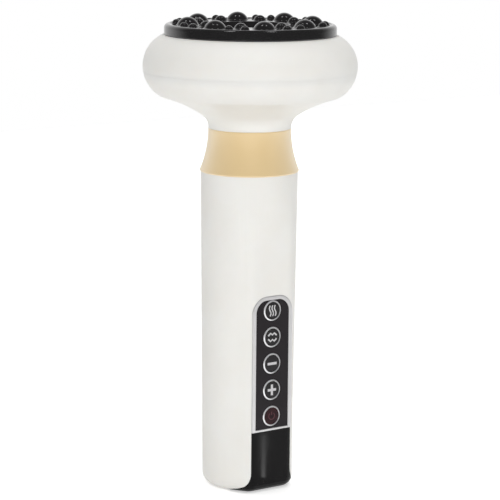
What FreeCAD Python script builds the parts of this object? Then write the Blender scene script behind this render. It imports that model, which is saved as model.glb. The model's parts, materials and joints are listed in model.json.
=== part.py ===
import FreeCAD, Part
import math
import operator
import os
import Sketcher

Vector = FreeCAD.Vector
Rotation = FreeCAD.Rotation

# A hand massager that stands on its base. Millimetres and degrees, +Z up, the panel faces -Y.
# A "depth" below is a distance from the handle's axis towards the panel, so y = -depth.
driving_sizes = {
    # handle tube
    "handle_length": 136.75,
    "handle_base_radius": 19.4,
    "handle_top_radius": 20.7,
    "handle_wall": 2.2,
    "floor_thickness": 2.4,
    "top_plate_thickness": 3.0,
    "foot_round": 4.6,
    # flat front of the handle
    "flat_sink": 1.1,
    "flat_width": 15.2,
    "flat_corner_radius": 6.5,
    "flat_runout": 31.0,
    "runout_gap": 4.2,
    "runout_flat_angle": 25.0,
    "runout_corner_angle": 38.0,
    "runout_side_angle": 48.0,
    # strip of trim, panel and chin
    "strip_width": 20.1,
    "strip_top": 85.45,
    "strip_corner_radius": 7.0,
    "chin_height": 26.85,
    "chin_flare_radius": 9.0,
    "chin_back_depth": 8.0,
    "base_plate_radius": 13.1,
    "fit_gap": 0.1,
    "seam_gap": 0.08,
    # trim and fascia
    "trim_width": 1.65,
    "trim_foot": 0.8,
    "trim_proud": 0.15,
    "trim_bevel": 0.3,
    "fascia_set_back": 0.3,
    "fascia_thickness": 1.8,
    # buttons and their rings
    "lowest_button_margin": 6.25,
    "highest_button_margin": 6.36,
    "ring_spacing": 2.5,
    "button_gap": 0.1,
    "button_set_back": 0.1,
    "button_crown": 0.12,
    "button_flange": 0.6,
    "button_flange_thickness": 0.8,
    "button_stop_gap": 0.05,
    "button_stem_radius": 1.5,
    "button_stem_length": 0.85,
    "button_travel": 0.5,
    "ring_width": 0.6,
    "ring_depth": 1.0,
    "ring_proud": 0.2,
    # switches on the control board
    "plunger_radius": 1.2,
    "plunger_reach": 0.65,
    "plunger_root": 0.4,
    "slide_gap": 0.05,
    "switch_side": 4.5,
    "switch_height": 1.8,
    "board_width": 16.4,
    "board_thickness": 1.2,
    "board_overlap": 1.2,
    "chip_side": 5.0,
    "chip_height": 0.9,
    "lamp_side": 1.6,
    "lamp_height": 0.6,
    # carrier frame
    "carrier_thickness": 1.8,
    "carrier_gap": 0.4,
    "post_height": 1.0,
    "post_radius": 2.0,
    "post_spread": 11.2,
    "rail_width": 1.4,
    "foot_width": 23.0,
    "foot_depth": 7.5,
    "foot_height": 7.0,
    "saddle_width": 16.0,
    "saddle_thickness": 5.0,
    "end_wall": 2.0,
    # battery cell
    "cell_radius": 9.2,
    "cell_length": 65.0,
    "cell_bottom": 28.0,
    "cell_gap": 0.1,
    "cell_wall_gap": 0.6,
    "cell_nub_radius": 3.0,
    "cell_nub_height": 1.0,
    "contact_radius": 5.0,
    "contact_thickness": 0.3,
    # charging inlet
    "socket_setback": 6.0,
    "socket_width": 8.94,
    "socket_height": 3.26,
    "socket_wall": 0.3,
    "socket_length": 7.3,
    "socket_recess": 0.6,
    "tongue_width": 6.6,
    "tongue_thickness": 0.7,
    "tongue_length": 5.0,
    "charge_board_width": 13.0,
    "charge_board_height": 15.0,
    "charge_board_thickness": 1.0,
    "guide_width": 1.6,
    "guide_overlap": 0.8,
    "guide_height": 10.0,
    # neck collar, spigot and nut
    "collar_length": 18.5,
    "collar_foot_radius": 21.1,
    "collar_sweep_radius": 46.0,
    "collar_foot_round": 0.6,
    "neck_radius": 17.6,
    "spigot_radius": 15.6,
    "spigot_bore": 13.6,
    "spigot_depth": 11.5,
    "spigot_lip": 1.8,
    "spigot_lip_radius": 9.0,
    "nut_radius": 18.0,
    "nut_height": 6.0,
    # head shells
    "head_radius": 45.35,
    "bulge_radius": 14.65,
    "bulge_angle": 36.0,
    "shoulder_radius": 14.4,
    "heel_radius": 5.5,
    "underside_slope": 15.4,
    "flare_radius": 7.0,
    "flare_angle": 33.4,
    "head_wall": 2.2,
    "seam_drop": 2.1,
    "seat_rise": 13.15,
    "pillar_radius": 3.2,
    # nodule disc
    "disc_inset": 0.4,
    "disc_height": 4.65,
    "disc_round": 2.0,
    "rim_lip_width": 0.4,
    "field_drop": 0.3,
    "disc_skin": 2.8,
    "recess_land": 2.4,
    "recess_draft": 2.2,
    "recess_depth": 4.4,
    "recess_round": 0.7,
    "recess_wall": 1.6,
    "large_dome_inset": 9.6,
    "large_dome_radius": 4.7,
    "large_dome_height": 3.35,
    "medium_dome_inset": 14.0,
    "medium_dome_radius": 2.7,
    "medium_dome_height": 2.25,
    "small_dome_inset": 5.1,
    "small_dome_radius": 1.9,
    "small_dome_height": 1.9,
    "small_dome_swing": 6.1,
    "dome_sink": 0.5,
    # heater under the disc
    "heater_gap": 0.3,
    "heater_thickness": 1.2,
    "film_margin": 0.6,
    "film_thickness": 0.4,
    "thermostat_length": 9.0,
    "thermostat_width": 5.0,
    "thermostat_height": 3.0,
    # vibration motor
    "motor_radius": 12.2,
    "motor_length": 31.5,
    "motor_wall": 0.8,
    "motor_roof": 1.0,
    "sleeve_gap": 0.05,
    "end_cap_thickness": 2.2,
    "bush_radius": 3.0,
    "bush_depth": 2.5,
    "bush_proud": 1.2,
    "shaft_radius": 1.0,
    "running_gap": 0.04,
    "shaft_end_gap": 0.4,
    "magnet_thickness": 1.9,
    "magnet_slot": 6.0,
    "magnet_foot": 8.0,
    "magnet_head": 5.0,
    "air_gap": 0.5,
    "armature_slot": 2.4,
    "armature_core_radius": 4.0,
    "commutator_radius": 3.2,
    "commutator_length": 4.0,
    "motor_plate_thickness": 1.6,
    "motor_plate_edge": 3.2,
    "weight_radius": 11.0,
    "weight_height": 9.0,
    "weight_hub_radius": 3.2,
    "weight_lift": 1.6,
    "shaft_stub": 1.0,
    # screws
    "screw_radius": 1.25,
    "screw_head_radius": 2.3,
    "screw_head_height": 1.4,
    "screw_recess": 0.3,
    "screw_bite": 5.0,
    "small_screw_radius": 0.9,
    "small_head_radius": 1.7,
    "small_head_height": 1.0,
    "small_bite": 2.4,
    "thread_gap": 0.02,
}

button_names = ("power", "plus", "minus", "mode", "heat")
dome_count = 8
pillar_count = 4
plate_screw_count = 3
armature_poles = 3
saddle_count = 3
foot_angles = (0, 18, 36, 54, 72, 90)
first_rise_share = 0.2
first_rise_advance = 0.04

doc = FreeCAD.newDocument("massager")
sheet = doc.addObject("Spreadsheet::Sheet", "sizes")
for row, (alias, value) in enumerate(driving_sizes.items(), start=1):
    sheet.set(f"A{row}", alias)
    sheet.set(f"B{row}", str(value))
    sheet.setAlias(f"B{row}", alias)
doc.recompute()

signs = {"+": operator.add, "-": operator.sub, "*": operator.mul, "/": operator.truediv}


class Size:
    """A size of the object: the expression that features are bound to, and its value."""

    def __init__(self, text, value):
        self.text = text
        self.value = value

    def __add__(self, other):
        return combined(self, "+", other)

    def __radd__(self, other):
        return combined(other, "+", self)

    def __sub__(self, other):
        return combined(self, "-", other)

    def __rsub__(self, other):
        return combined(other, "-", self)

    def __mul__(self, other):
        return combined(self, "*", other)

    def __rmul__(self, other):
        return combined(other, "*", self)

    def __truediv__(self, other):
        return combined(self, "/", other)

    def __neg__(self):
        return combined(0, "-", self)


class SizeTable:
    """The driving sizes by their names in the sheet."""

    def __getattr__(self, alias):
        return Size(f"sizes.{alias}", sheet.get(alias))


def as_size(number):
    return number if isinstance(number, Size) else Size(repr(float(number)), float(number))


def combined(first, sign, second):
    first, second = as_size(first), as_size(second)
    return Size(f"({first.text} {sign} {second.text})", signs[sign](first.value, second.value))


def root(size):
    return Size(f"sqrt({size.text})", math.sqrt(size.value))


def sine(angle):
    return Size(f"sin({angle.text})", math.sin(math.radians(angle.value)))


def cosine(angle):
    return Size(f"cos({angle.text})", math.cos(math.radians(angle.value)))


def across(radius, offset):
    """Half a chord: how far a circle reaches sideways at an offset from its centre."""
    return root(radius * radius - offset * offset)


def bind(feature, **properties):
    for name, size in properties.items():
        feature.setExpression(name, as_size(size).text)


def place(feature, x=0, y=0, z=0, rotation=None):
    if rotation is not None:
        feature.Placement = FreeCAD.Placement(Vector(), rotation)
    for axis, size in zip("xyz", (x, y, z)):
        feature.setExpression(f"Placement.Base.{axis}", as_size(size).text)
    return feature


towards_panel = Rotation(Vector(1, 0, 0), 90)
s = SizeTable()
nodes = {}


def node(label, feature):
    feature.Label = label
    nodes[label] = feature
    return feature


def cylinder(name, radius, height, x=0, y=0, z=0, rotation=None):
    rod = doc.addObject("Part::Cylinder", name)
    bind(rod, Radius=radius, Height=height)
    return place(rod, x, y, z, rotation)


def block(name, x, y, z):
    """A box between two limits along each axis."""
    box = doc.addObject("Part::Box", name)
    bind(box, Length=x[1] - as_size(x[0]), Width=y[1] - as_size(y[0]), Height=z[1] - as_size(z[0]))
    return place(box, x[0], y[0], z[0])


def fuse(name, *features):
    joined = doc.addObject("Part::MultiFuse", name)
    joined.Shapes = list(features)
    return joined


def cut(name, base, *tools):
    carved = doc.addObject("Part::Cut", name)
    carved.Base = base
    carved.Tool = tools[0] if len(tools) == 1 else fuse(f"{name}_cutters", *tools)
    return carved


def common(name, base, tool):
    shared = doc.addObject("Part::Common", name)
    shared.Base = base
    shared.Tool = tool
    return shared


def group(name, *features):
    several = doc.addObject("Part::Compound", name)
    several.Links = list(features)
    return several


def origin_plane(body, role):
    return next(plane for plane in body.Origin.OriginFeatures if plane.Role == role)


def arc_between(start, end, radius, centre_on_left):
    """The shorter arc from one point to another, and whether it is drawn from end to start."""
    chord = end - start
    lift = math.sqrt(max(radius * radius - chord.Length ** 2 / 4, 0))
    left = Vector(-chord.y, chord.x, 0) / chord.Length
    centre = (start + end) / 2 + left * (lift if centre_on_left else -lift)
    first, last = (start, end) if centre_on_left else (end, start)
    angles = [math.atan2(point.y - centre.y, point.x - centre.x) for point in (first, last)]
    circle = Part.Circle(centre, Vector(0, 0, 1), radius)
    return Part.ArcOfCircle(circle, *angles), not centre_on_left


def hold(sketch, kind, *terms, size):
    number = sketch.addConstraint(Sketcher.Constraint(kind, *terms, size.value))
    sketch.setExpression(f"Constraints[{number}]", size.text)


def draw(body, name, plane, corners, arcs=None):
    """A closed outline. arcs gives side number: (radius, centre on the left of the way round)."""
    arcs = arcs or {}
    sketch = body.newObject("Sketcher::SketchObject", name)
    sketch.AttachmentSupport = (origin_plane(body, plane), [""])
    sketch.MapMode = "FlatFace"
    corners = [(as_size(across_), as_size(along)) for across_, along in corners]
    points = [Vector(across_.value, along.value, 0) for across_, along in corners]
    starts, ends = [], []
    for side, start in enumerate(points):
        end = points[(side + 1) % len(points)]
        backwards = False
        if side in arcs:
            radius, centre_on_left = arcs[side]
            curve, backwards = arc_between(start, end, radius.value, centre_on_left)
        else:
            curve = Part.LineSegment(start, end)
        sketch.addGeometry(curve, False)
        starts.append(2 if backwards else 1)
        ends.append(1 if backwards else 2)
    for side, (across_, along) in enumerate(corners):
        following = (side + 1) % len(corners)
        sketch.addConstraint(
            Sketcher.Constraint("Coincident", side, ends[side], following, starts[following]))
        for kind, axis, size in (("DistanceX", -2, across_), ("DistanceY", -1, along)):
            if size.text == "0.0":
                sketch.addConstraint(Sketcher.Constraint("PointOnObject", side, starts[side], axis))
            else:
                hold(sketch, kind, -1, 1, side, starts[side], size=size)
        if side in arcs:
            chord = points[following] - points[side]
            radius = arcs[side][0]
            if near(chord.Length, 2 * radius.value):
                line_up = "Vertical" if near(chord.x, 0) else "Horizontal"
                sketch.addConstraint(Sketcher.Constraint(line_up, side, 3, side, starts[side]))
            else:
                hold(sketch, "Radius", side, size=radius)
    return sketch


def revolve(body, name, sketch, axis="V_Axis"):
    turn = body.newObject("PartDesign::Revolution", name)
    turn.Profile = sketch
    turn.ReferenceAxis = (sketch, [axis])
    turn.Angle = 360
    return turn


def loft(body, name, sections, straight):
    doc.recompute()
    form = body.newObject("PartDesign::AdditiveLoft", name)
    form.Profile = sections[0]
    form.Sections = sections[1:]
    form.Ruled = straight
    return form


def turned(name, corners, arcs=None):
    """A body turned about its own Z from a half section of (radius, height) corners."""
    body = doc.addObject("PartDesign::Body", name)
    revolve(body, f"{name}_turn", draw(body, f"{name}_section", "XZ_Plane", corners, arcs))
    return body


def extruded(name, plane, corners, arcs, start, length):
    body = doc.addObject("PartDesign::Body", name)
    sketch = draw(body, f"{name}_outline", plane, corners, arcs)
    sketch.setExpression("AttachmentOffset.Base.z", as_size(start).text)
    pad = body.newObject("PartDesign::Pad", f"{name}_pad")
    pad.Profile = sketch
    bind(pad, Length=length)
    return body


def edge_names(shape, wanted):
    return [f"Edge{number}" for number, edge in enumerate(shape.Edges, start=1) if wanted(edge)]


def middle(edge):
    return edge.valueAt((edge.FirstParameter + edge.LastParameter) / 2)


def near(first, second, tolerance=1e-4):
    return abs(first - second) < tolerance


def bevel_edges(body, name, length, wanted):
    doc.recompute()
    base = body.Tip
    bevel = body.newObject("PartDesign::Chamfer", name)
    bevel.Base = (base, edge_names(base.Shape, wanted))
    bind(bevel, Size=length)
    return bevel


# Heights that stack up from the base
collar_top = s.handle_length + s.collar_length
bulge_circle = s.head_radius - s.bulge_radius
shoulder_circle = s.head_radius - s.shoulder_radius
flare_sine, flare_cosine = sine(s.flare_angle), cosine(s.flare_angle)
slope_sine, slope_cosine = sine(s.underside_slope), cosine(s.underside_slope)
bulge_sine, bulge_cosine = sine(s.bulge_angle), cosine(s.bulge_angle)
flare_end = (s.neck_radius + s.flare_radius * (1 - flare_sine), collar_top + s.flare_radius * flare_cosine)
bulge_start_radius = bulge_circle + s.bulge_radius * bulge_sine
sweep_end_radius = bulge_start_radius - s.heel_radius * (bulge_sine - slope_sine)
sweep_radius = (sweep_end_radius - flare_end[0]) / (flare_sine - slope_sine)
sweep_end = (sweep_end_radius, flare_end[1] + sweep_radius * (slope_cosine - flare_cosine))
bulge_start = (bulge_start_radius, sweep_end[1] + s.heel_radius * (slope_cosine - bulge_cosine))
equator = bulge_start[1] + s.bulge_radius * bulge_cosine
seam = equator - s.seam_drop
disc_seat = equator + s.seat_rise
disc_top = disc_seat + s.disc_height
disc_field = disc_top - s.field_drop
motor_foot = s.handle_length - s.spigot_depth + s.spigot_lip
motor_top = motor_foot + s.motor_length
runout_end = s.handle_length - s.top_plate_thickness - s.nut_height - s.runout_gap
flat_height = runout_end - s.flat_runout

# Depths that stack up from the flat front towards the axis
flat = s.handle_base_radius - s.flat_sink
trim_front = flat + s.trim_proud
fascia_front = trim_front - s.fascia_set_back
fascia_back = fascia_front - s.fascia_thickness
ring_front = fascia_front + s.ring_proud
button_front = ring_front - s.button_set_back
flange_front = fascia_back - s.button_stop_gap
flange_back = flange_front - s.button_flange_thickness
stem_end = flange_back - s.button_stem_length
plunger_tip = stem_end - s.button_stop_gap
switch_front = plunger_tip - s.plunger_reach
board_front = switch_front - s.switch_height
board_back = board_front - s.board_thickness
carrier_front = board_back - s.post_height
carrier_back = carrier_front - s.carrier_thickness

cavity_radius = s.handle_base_radius - s.handle_wall
strip_half = s.strip_width / 2
lowest_button = s.chin_height + s.lowest_button_margin
highest_button = s.strip_top - s.highest_button_margin
button_pitch = (highest_button - lowest_button) / (len(button_names) - 1)
ring_outer = (button_pitch - s.ring_spacing) / 2
ring_inner = ring_outer - s.ring_width
button_radius = ring_inner - s.button_gap
cell_setback = cavity_radius - s.cell_wall_gap - s.cell_radius
cell_top = s.cell_bottom + s.cell_length
carrier_top = cell_top + s.contact_thickness + s.end_wall
fit_radius = s.spigot_radius + s.fit_gap
lip_radius = shoulder_circle + across(s.shoulder_radius, s.seat_rise)
disc_radius = lip_radius - s.disc_inset
pillar_circle = disc_radius - s.screw_head_radius - s.pillar_radius / 4
flange_radius = pillar_circle - s.pillar_radius
heater_pocket_radius = flange_radius - s.disc_inset
large_dome_circle = disc_radius - s.large_dome_inset
medium_dome_circle = disc_radius - s.medium_dome_inset
small_dome_circle = disc_radius - s.small_dome_inset
recess_radius = medium_dome_circle - s.medium_dome_radius - s.recess_land - s.recess_round
cup_radius = recess_radius + s.recess_wall
motor_plate_radius = s.spigot_bore + s.motor_plate_edge
plate_screw_circle = motor_plate_radius - s.small_head_radius
disc_screw_circle = flange_radius + s.small_head_radius + s.fit_gap
base_screw_seat = s.screw_head_height + s.screw_recess
button_heights = [lowest_button + button_pitch * step for step in range(len(button_names))]


def flat_section(radius, depth, corner):
    """A round section whose flat front runs out to it through round corners and straight sides."""
    half, reach = s.flat_width / 2, depth - corner
    spread = half * half + reach * reach
    along = (radius - corner) / spread
    beside = root(spread - (radius - corner) * (radius - corner)) / spread
    side_x, side_y = along * half + beside * reach, along * reach - beside * half
    right = [(half, -depth), (half + corner * side_x, -reach - corner * side_y),
             (radius * side_x, -radius * side_y)]
    left = [(-x, y) for x, y in reversed(right)]
    arcs = {0: (corner, True), 2: (radius, True), 3: (radius, True), 5: (corner, True)}
    return right + [(0, radius)] + left, arcs


def round_section(radius):
    """A full round, divided where the sides of the flat front run out on it."""
    angles = (s.runout_flat_angle, s.runout_corner_angle, s.runout_side_angle)
    right = [(radius * sine(angle), -radius * cosine(angle)) for angle in angles]
    left = [(-x, y) for x, y in reversed(right)]
    return right + [(0, radius)] + left, {side: (radius, True) for side in range(7)}


def handle_form(name, inset, bottom, top, foot_round=None):
    """The handle's tapered round with its flat front, which runs out above the panel."""
    body = doc.addObject("PartDesign::Body", name)
    taper = (s.handle_top_radius - s.handle_base_radius) / s.handle_length

    def section(label, height, advance=0.0, draw_in=inset):
        """The outline at one height; advance runs from 0 on the flat to 1 on the full round."""
        radius = s.handle_base_radius + taper * height - draw_in
        depth = flat - draw_in + (radius - flat + draw_in) * advance
        corner = s.flat_corner_radius - draw_in
        outline = flat_section(radius, depth, corner) if advance < 1 else round_section(radius)
        sketch = draw(body, f"{name}_{label}", "XY_Plane", *outline)
        sketch.setExpression("AttachmentOffset.Base.z", height.text)
        return sketch

    flat_start = bottom
    if foot_round is not None:
        flat_start = bottom + foot_round
        foot = []
        for number, angle in enumerate(foot_angles, start=1):
            turn = as_size(angle)
            foot.append(section(f"foot_{number}", bottom + foot_round * (1 - cosine(turn)),
                                draw_in=inset + foot_round * (1 - sine(turn))))
        loft(body, f"{name}_foot", foot, True)
    loft(body, f"{name}_flat", [section("flat_start", flat_start), section("flat_end", flat_height)], True)
    first_rise = flat_height + s.flat_runout * first_rise_share
    loft(body, f"{name}_runout", [
        section("runout_start", flat_height), section("runout_rise", first_rise, first_rise_advance),
        section("runout_end", runout_end, 1.0), section("top", top, 1.0)], False)
    return body


def strip_outline(half_width, bottom, top, corner_radius):
    """A strip with rounded upper corners, seen from the front."""
    corners = [
        (-half_width, bottom), (half_width, bottom), (half_width, top - corner_radius),
        (half_width - corner_radius, top), (corner_radius - half_width, top),
        (-half_width, top - corner_radius)]
    return corners, {2: (corner_radius, True), 4: (corner_radius, True)}


def flared_outline(half_width, flare_radius, bottom, top):
    """A strip whose lower end flares out round the shell's rounded corners."""
    flare_half = half_width + flare_radius
    corners = [
        (-flare_half, bottom), (flare_half, bottom), (flare_half, 0), (half_width, flare_radius),
        (half_width, top), (-half_width, top), (-half_width, flare_radius), (-flare_half, 0)]
    return corners, {2: (flare_radius, False), 6: (flare_radius, False)}


def make_handle():
    no_inset = as_size(0)
    outer = handle_form("handle_outside", no_inset, no_inset, s.handle_length, s.foot_round)
    inner = handle_form("handle_inside", s.handle_wall, s.floor_thickness,
                        s.handle_length - s.top_plate_thickness)
    skin = cut("handle_skin", outer, inner)
    reach = s.handle_base_radius + s.handle_wall - s.chin_back_depth
    margin = s.handle_wall

    half = strip_half + s.fit_gap
    front_mouth = extruded(
        "panel_mouth", "XZ_Plane",
        *strip_outline(half, s.chin_flare_radius, s.strip_top + s.fit_gap, s.strip_corner_radius),
        s.chin_back_depth, reach)
    chin_mouth = extruded(
        "chin_mouth", "XZ_Plane",
        *flared_outline(half, s.chin_flare_radius, -margin, s.chin_height),
        s.chin_back_depth, reach)
    base_hole = cylinder("base_hole", s.base_plate_radius + s.fit_gap, s.floor_thickness + 2 * margin,
                         z=-margin)
    neck_hole = cylinder("neck_hole", fit_radius, s.top_plate_thickness + 2 * margin,
                         z=s.handle_length - s.top_plate_thickness - margin)
    node("handle_shell", cut("handle_tube", skin, front_mouth, chin_mouth, base_hole, neck_hole))

    chin_block = extruded(
        "chin_block", "XZ_Plane",
        *flared_outline(strip_half, s.chin_flare_radius, -margin, s.chin_height),
        s.chin_back_depth + s.fit_gap, reach)
    base_plug = cylinder("base_plug", s.base_plate_radius, s.floor_thickness + margin, z=-margin)
    chin = common("chin_skin", skin, fuse("chin_reach", chin_block, base_plug))
    guide_inner = s.charge_board_width / 2 + s.fit_gap
    board_y = s.socket_setback + s.socket_height / 2
    guide_span = (board_y - s.guide_overlap, board_y + s.charge_board_thickness + s.guide_overlap)
    guide_rise = (s.floor_thickness / 2, s.floor_thickness + s.guide_height)
    guides = [
        block("left_guide", (-guide_inner - s.guide_width, -guide_inner), guide_span, guide_rise),
        block("right_guide", (guide_inner, guide_inner + s.guide_width), guide_span, guide_rise)]
    slot_half_height = s.socket_height / 2 + s.fit_gap
    slot = extruded("inlet_slot", "XY_Plane",
                    *stadium(s.socket_width / 2 + s.fit_gap, slot_half_height, s.socket_setback),
                    -margin, s.floor_thickness + 2 * margin)
    screw_holes = []
    for name, x, y in base_screw_places():
        screw_holes.append(cylinder(f"{name}_base_bore", s.screw_radius + s.fit_gap,
                                    s.floor_thickness + 2 * margin, x, y, -margin))
        screw_holes.append(cylinder(f"{name}_base_sink", s.screw_head_radius + s.fit_gap,
                                    base_screw_seat + margin, x, y, -margin))
    node("base_cover", cut("base_chin", fuse("chin_and_guides", chin, *guides), slot, *screw_holes))


def stadium(half_length, half_height, y):
    """A slot outline with round ends, along X."""
    straight = half_length - half_height
    corners = [(-straight, y - half_height), (straight, y - half_height),
               (straight, y + half_height), (-straight, y + half_height)]
    return corners, {1: (half_height, True), 3: (half_height, True)}


def base_screw_places():
    x = s.foot_width / 2 - 2 * s.screw_radius
    y = s.foot_depth / 2 - carrier_back
    return [("left", -x, y), ("right", x, y)]


def make_panel():
    trim_bottom = s.chin_height + s.seam_gap
    window_half = strip_half - s.trim_width
    window_bottom, window_top = trim_bottom + s.trim_foot, s.strip_top - s.trim_width
    window_corner = s.strip_corner_radius - s.trim_width
    trim_depth = trim_front - fascia_back
    frame = extruded("trim_blank", "XZ_Plane",
                     *strip_outline(strip_half, trim_bottom, s.strip_top, s.strip_corner_radius),
                     fascia_back, trim_depth)
    window = extruded("trim_window", "XZ_Plane",
                      *strip_outline(window_half, window_bottom, window_top, window_corner),
                      fascia_back - s.trim_width, trim_depth + 2 * s.trim_width)
    bevel_edges(frame, "trim_bevel_cut", s.trim_bevel,
                lambda edge: all(near(v.Y, -trim_front.value) for v in edge.Vertexes)
                and middle(edge).z > trim_bottom.value + s.trim_foot.value)
    node("panel_trim", cut("trim_frame", frame, window))

    blank = extruded(
        "fascia_blank", "XZ_Plane",
        *strip_outline(window_half - s.seam_gap, window_bottom + s.seam_gap,
                       window_top - s.seam_gap, window_corner - s.seam_gap),
        fascia_back, s.fascia_thickness)
    holes = []
    for name, height in zip(button_names, button_heights):
        holes.append(cylinder(f"{name}_hole", ring_inner, 2 * s.fascia_thickness,
                              y=s.fascia_thickness / 2 - fascia_back, z=height, rotation=towards_panel))
        holes.append(cylinder(f"{name}_ring_seat", ring_outer + s.thread_gap, s.fascia_thickness,
                              y=s.ring_depth - ring_front, z=height, rotation=towards_panel))
    node("control_panel", cut("fascia", blank, *holes))


def make_buttons():
    rings = []
    switches = []
    for name, height in zip(button_names, button_heights):
        flange_radius = button_radius + s.button_flange
        crown_radius = (button_radius * button_radius / s.button_crown + s.button_crown) / 2
        rim = button_front - s.button_crown
        cap = turned(f"{name}_cap", [
            (0, stem_end), (s.button_stem_radius, stem_end), (s.button_stem_radius, flange_back),
            (flange_radius, flange_back), (flange_radius, flange_front),
            (button_radius, flange_front), (button_radius, rim), (0, button_front)],
            {6: (crown_radius, True)})
        node(f"{name}_button", place(cap, z=height, rotation=towards_panel))
        plunger = turned(f"{name}_plunger_pin", [
            (0, switch_front - s.plunger_root), (s.plunger_radius, switch_front - s.plunger_root),
            (s.plunger_radius, plunger_tip), (0, plunger_tip)])
        node(f"{name}_plunger", place(plunger, z=height, rotation=towards_panel))
        ring = turned(f"{name}_ring", [
            (ring_inner, ring_front - s.ring_depth), (ring_outer, ring_front - s.ring_depth),
            (ring_outer, ring_front - s.ring_proud), (ring_outer - s.ring_proud, ring_front),
            (ring_inner + s.ring_proud, ring_front), (ring_inner, ring_front - s.ring_proud)])
        rings.append(place(ring, z=height, rotation=towards_panel))
        side = s.switch_side / 2
        body = block(f"{name}_switch_body", (-side, side), (-switch_front, -board_front),
                     (height - side, height + side))
        well_depth = s.plunger_root + s.button_travel + s.slide_gap
        well = cylinder(f"{name}_switch_well", s.plunger_radius + s.slide_gap, 2 * well_depth,
                        y=well_depth - switch_front, z=height, rotation=towards_panel)
        switches.append(cut(f"{name}_switch", body, well))
    node("button_rings", group("rings", *rings))
    node("tact_switches", group("switches", *switches))


def board_screw_places():
    x = s.post_spread / 2
    heights = [lowest_button + button_pitch * (step + 0.5) for step in (0, len(button_names) - 2)]
    return [(f"board_{side}_{level}", sign * x, height)
            for level, height in zip(("low", "high"), heights)
            for side, sign in (("left", -1), ("right", 1))]


def make_board():
    half = s.board_width / 2
    board_bottom, board_top = s.chin_height - s.board_overlap, s.strip_top - s.board_overlap
    blank = block("board_blank", (-half, half), (-board_front, -board_back), (board_bottom, board_top))
    bores = [cylinder(f"{name}_bore", s.small_screw_radius + s.fit_gap, 3 * s.board_thickness,
                      x, s.board_thickness - board_back, z, towards_panel)
             for name, x, z in board_screw_places()]
    node("control_board", cut("board", blank, *bores))
    chip_half = s.chip_side / 2
    chip_height = lowest_button + button_pitch * 1.5
    node("driver_chip", block("chip", (-chip_half, chip_half), (-board_front - s.chip_height, -board_front),
                              (chip_height - chip_half, chip_height + chip_half)))
    lamp_half = s.lamp_side / 2
    lamp_bottom = lowest_button + s.switch_side / 2 + lamp_half
    node("power_lamp", block("lamp", (-lamp_half, lamp_half), (-board_front - s.lamp_height, -board_front),
                             (lamp_bottom, lamp_bottom + s.lamp_side)))
    screws = [place(pan_screw(name, s.small_screw_radius, s.small_head_radius, s.small_head_height,
                              s.board_thickness + s.small_bite), x, -board_front, z, towards_panel)
              for name, x, z in board_screw_places()]
    node("board_screws", group("board_fixings", *screws))


def pan_screw(name, radius, head_radius, head_height, length):
    """A screw whose head stands above its own origin and whose shank runs down from it."""
    return turned(f"{name}_screw", [
        (0, -length), (radius, -length), (radius, 0), (head_radius, 0), (head_radius, head_height / 2),
        (head_radius - head_height / 2, head_height), (0, head_height)])


def make_carrier():
    half = across(cavity_radius, carrier_front) - s.carrier_gap
    plate = block("carrier_plate", (-half, half), (-carrier_front, -carrier_back),
                  (s.floor_thickness, carrier_top))
    foot_half = s.foot_width / 2
    overlap = s.carrier_thickness / 2
    foot = block("carrier_foot", (-foot_half, foot_half),
                 (-carrier_back - overlap, s.foot_depth - carrier_back),
                 (s.floor_thickness, s.floor_thickness + s.foot_height))
    pieces = [foot]
    saddle_half = s.saddle_width / 2
    for step in range(saddle_count):
        centre = s.cell_bottom + s.cell_length * ((step + 0.5) / saddle_count)
        pieces.append(block(f"saddle_{step + 1}", (-saddle_half, saddle_half),
                            (-carrier_back - overlap, cell_setback - s.cell_radius / 2),
                            (centre - s.saddle_thickness / 2, centre + s.saddle_thickness / 2)))
    wall_low = s.cell_bottom - s.contact_thickness
    wall_high = cell_top + s.contact_thickness
    wall_span = (-carrier_back - overlap, cell_setback + s.cell_radius / 2)
    pieces.append(block("lower_end_wall", (-saddle_half, saddle_half), wall_span,
                        (wall_low - s.end_wall, wall_low)))
    pieces.append(block("upper_end_wall", (-saddle_half, saddle_half), wall_span,
                        (wall_high, wall_high + s.end_wall)))
    rail_inner = s.board_width / 2 + s.fit_gap
    rail_depth = (s.fit_gap - fascia_back, overlap - carrier_front)
    rail_height = (s.chin_height + s.trim_foot, s.strip_top - s.strip_corner_radius)
    pieces.append(block("left_rail", (-rail_inner - s.rail_width, -rail_inner), rail_depth, rail_height))
    pieces.append(block("right_rail", (rail_inner, rail_inner + s.rail_width), rail_depth, rail_height))
    pilots = []
    for name, x, z in board_screw_places():
        pieces.append(cylinder(f"{name}_post", s.post_radius, s.post_height + overlap,
                               x, overlap - carrier_front, z, towards_panel))
        pilots.append(cylinder(f"{name}_pilot", s.small_screw_radius + s.thread_gap,
                               2 * s.carrier_thickness + s.post_height, x,
                               s.carrier_thickness * 1.5 - carrier_front, z, towards_panel))
    for name, x, y in base_screw_places():
        pilots.append(cylinder(f"{name}_foot_pilot", s.screw_radius + s.thread_gap,
                               s.screw_bite + s.fit_gap + s.floor_thickness, x, y, 0))
    cell_bed = cylinder("cell_bed", s.cell_radius + s.cell_gap,
                        s.cell_length + 2 * s.contact_thickness, y=cell_setback, z=wall_low)
    node("carrier_frame", cut("carrier", fuse("carrier_blank", plate, *pieces), cell_bed, *pilots))
    screws = [place(pan_screw(f"base_{name}", s.screw_radius, s.screw_head_radius, s.screw_head_height,
                              s.floor_thickness - base_screw_seat + s.screw_bite),
                    x, y, base_screw_seat, Rotation(Vector(1, 0, 0), 180))
              for name, x, y in base_screw_places()]
    node("base_screws", group("base_fixings", *screws))


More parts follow.
